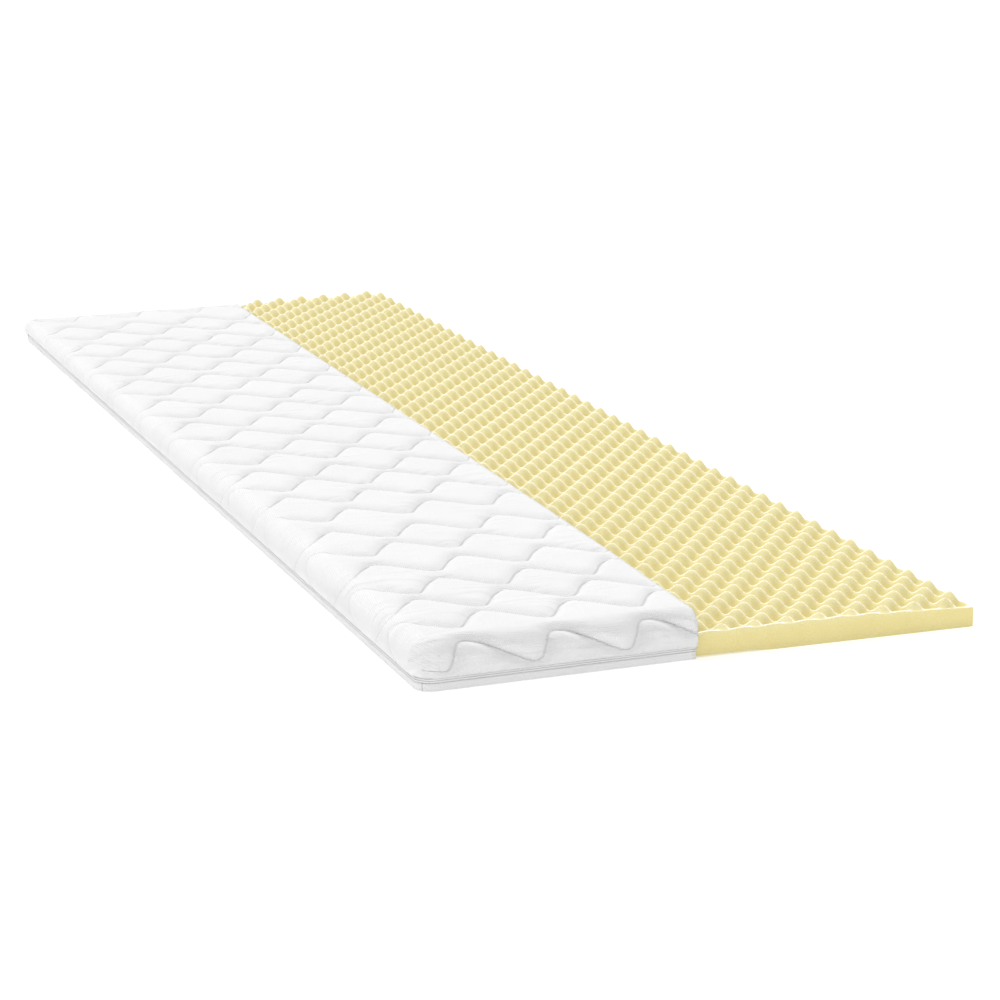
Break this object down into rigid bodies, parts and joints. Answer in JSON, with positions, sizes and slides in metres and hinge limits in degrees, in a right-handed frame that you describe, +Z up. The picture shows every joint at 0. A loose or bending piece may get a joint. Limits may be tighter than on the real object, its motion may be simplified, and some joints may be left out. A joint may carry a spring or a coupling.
{
  "type": "mattress topper",
  "caption": "Flat mattress topper: egg-crate foam core, half of it inside a quilted zip cover that is cut open along its length to show the foam.",
  "frame": {"origin": "centre of the bounding box's underside, on the surface that the topper lies on", "axes": "+Y along the length, towards the end that is far in the picture; +X across the width, towards the bare foam; +Z up"},
  "size_m": [0.6998, 2.036, 0.06],
  "materials": {
    "foam": "pale yellow open-cell polyurethane foam, matt, fine pores",
    "quilted_knit": "white double jersey, fine pebbled knit, quilted over a thin fleece filling",
    "plain_knit": "white double jersey, unquilted",
    "zip_tape": "white woven zip tape, closed",
    "zip_tab": "white painted tab"
  },
  "bodies": {
    "root": {"foam_core": "foam", "cover_top": "quilted_knit", "cover_base": "plain_knit", "zip": "zip_tape", "zip_pull": "zip_tab"}
  },
  "joints": []
}
